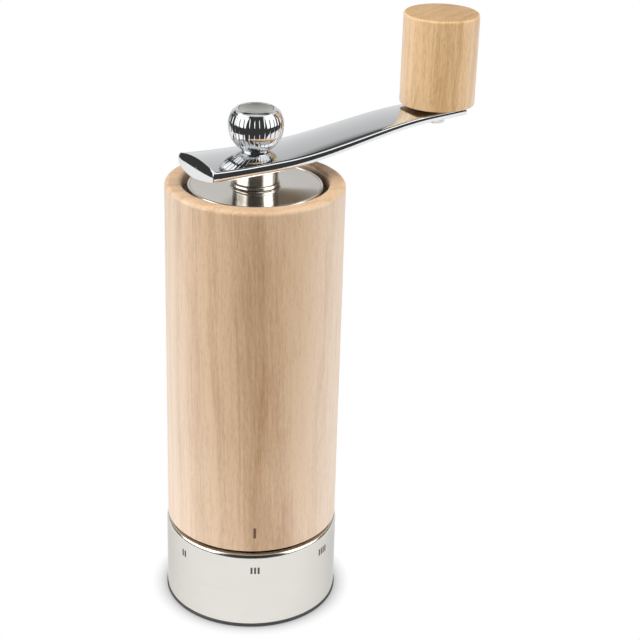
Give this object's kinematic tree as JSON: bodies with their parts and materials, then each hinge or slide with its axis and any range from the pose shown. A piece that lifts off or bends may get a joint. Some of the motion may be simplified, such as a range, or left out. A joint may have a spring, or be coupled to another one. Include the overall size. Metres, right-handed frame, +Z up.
{
  "type": "salt mill",
  "caption": "Hand cranked salt mill: a turned beech body on a steel grind-setting ring, a steel lid, and a swept metal crank arm with a beech grip and a fluted ball knob.",
  "frame": {"origin": "on the mill's own axis, in the plane of the foot ring's underside", "axes": "+Z up along the mill's axis, -Y towards the side where the settings are read, the crank at rest 30.8 degrees from +X towards +Y"},
  "size_m": [0.0971, 0.074, 0.1857],
  "materials": {
    "beech": "oiled beech, satin",
    "grip_beech": "oiled beech, satin",
    "satin_steel": "fine satin",
    "polished_steel": "mirror polished",
    "chrome": "mirror polished",
    "dark_plastic": "matte",
    "foot_rubber": "matte",
    "spring_steel": "drawn",
    "burr_steel": "machined",
    "brass": "turned",
    "silicone": "matte"
  },
  "bodies": {
    "mill": {"beech_body": "beech", "mechanism_housing": "dark_plastic", "shaft_bearing": "brass", "retaining_clip": "spring_steel", "click_spring": "spring_steel", "housing_screw_1": "spring_steel", "housing_screw_2": "spring_steel", "housing_screw_3": "spring_steel"},
    "adjuster": {"adjusting_ring": "satin_steel", "ring_core": "dark_plastic", "foot_ring": "foot_rubber"},
    "stator": {"stator_carrier": "dark_plastic", "stator_burr": "burr_steel", "cam_pin": "spring_steel"},
    "drive": {"drive_shaft": "satin_steel", "rotor_burr": "burr_steel", "rotor_nut": "spring_steel", "rotor_spring": "spring_steel", "thrust_washer": "brass", "shaft_clip": "spring_steel"},
    "lid": {"lid_disc": "polished_steel", "lid_insert": "dark_plastic", "lid_seal": "silicone", "lid_bush": "polished_steel", "lid_clip": "spring_steel"},
    "crank": {"crank_arm": "chrome", "grip_spindle": "polished_steel", "spindle_washer": "spring_steel"},
    "grip": {"crank_grip": "grip_beech", "grip_bush": "dark_plastic"},
    "knob_nut": {"knob_nut": "brass"},
    "knob": {"ball_knob": "chrome", "knob_cap": "polished_steel"}
  },
  "joints": [
    {"name": "ring_turn", "type": "hinge", "parent": "mill", "child": "adjuster", "pos_m": [0, 0, 0.014], "axis": [0, 0, 1], "range_deg": [-160.5, 107]},
    {"name": "stator_rise", "type": "slide", "parent": "mill", "child": "stator", "axis": [0, 0, 1], "range_m": [-0.00051, 0.00076]},
    {"name": "lid_lift", "type": "slide", "parent": "mill", "child": "lid", "axis": [0, 0, 1], "range_m": [0, 0.045]},
    {"name": "crank_turn", "type": "hinge", "parent": "lid", "child": "crank", "pos_m": [0, 0, 0.15], "axis": [0, 0, 1], "continuous": true},
    {"name": "shaft_turn", "type": "hinge", "parent": "mill", "child": "drive", "pos_m": [0, 0, 0.042], "axis": [0, 0, 1], "continuous": true},
    {"name": "grip_turn", "type": "hinge", "parent": "crank", "child": "grip", "pos_m": [0.05712, 0.03405, 0.17], "axis": [0, 0, 1], "continuous": true},
    {"name": "knob_rise", "type": "slide", "parent": "crank", "child": "knob_nut", "axis": [0, 0, 1], "range_m": [0, 0.00778]},
    {"name": "knob_turn", "type": "hinge", "parent": "knob_nut", "child": "knob", "pos_m": [0, 0, 0.158], "axis": [0, 0, 1], "range_deg": [0, 3960]}
  ],
  "couplings": [
    {"joint": "shaft_turn", "follows": "crank_turn", "ratio": 1},
    {"joint": "stator_rise", "follows": "ring_turn", "m_per_rad": -0.00026774},
    {"joint": "knob_rise", "follows": "knob_turn", "m_per_rad": 0.00011141}
  ]
}
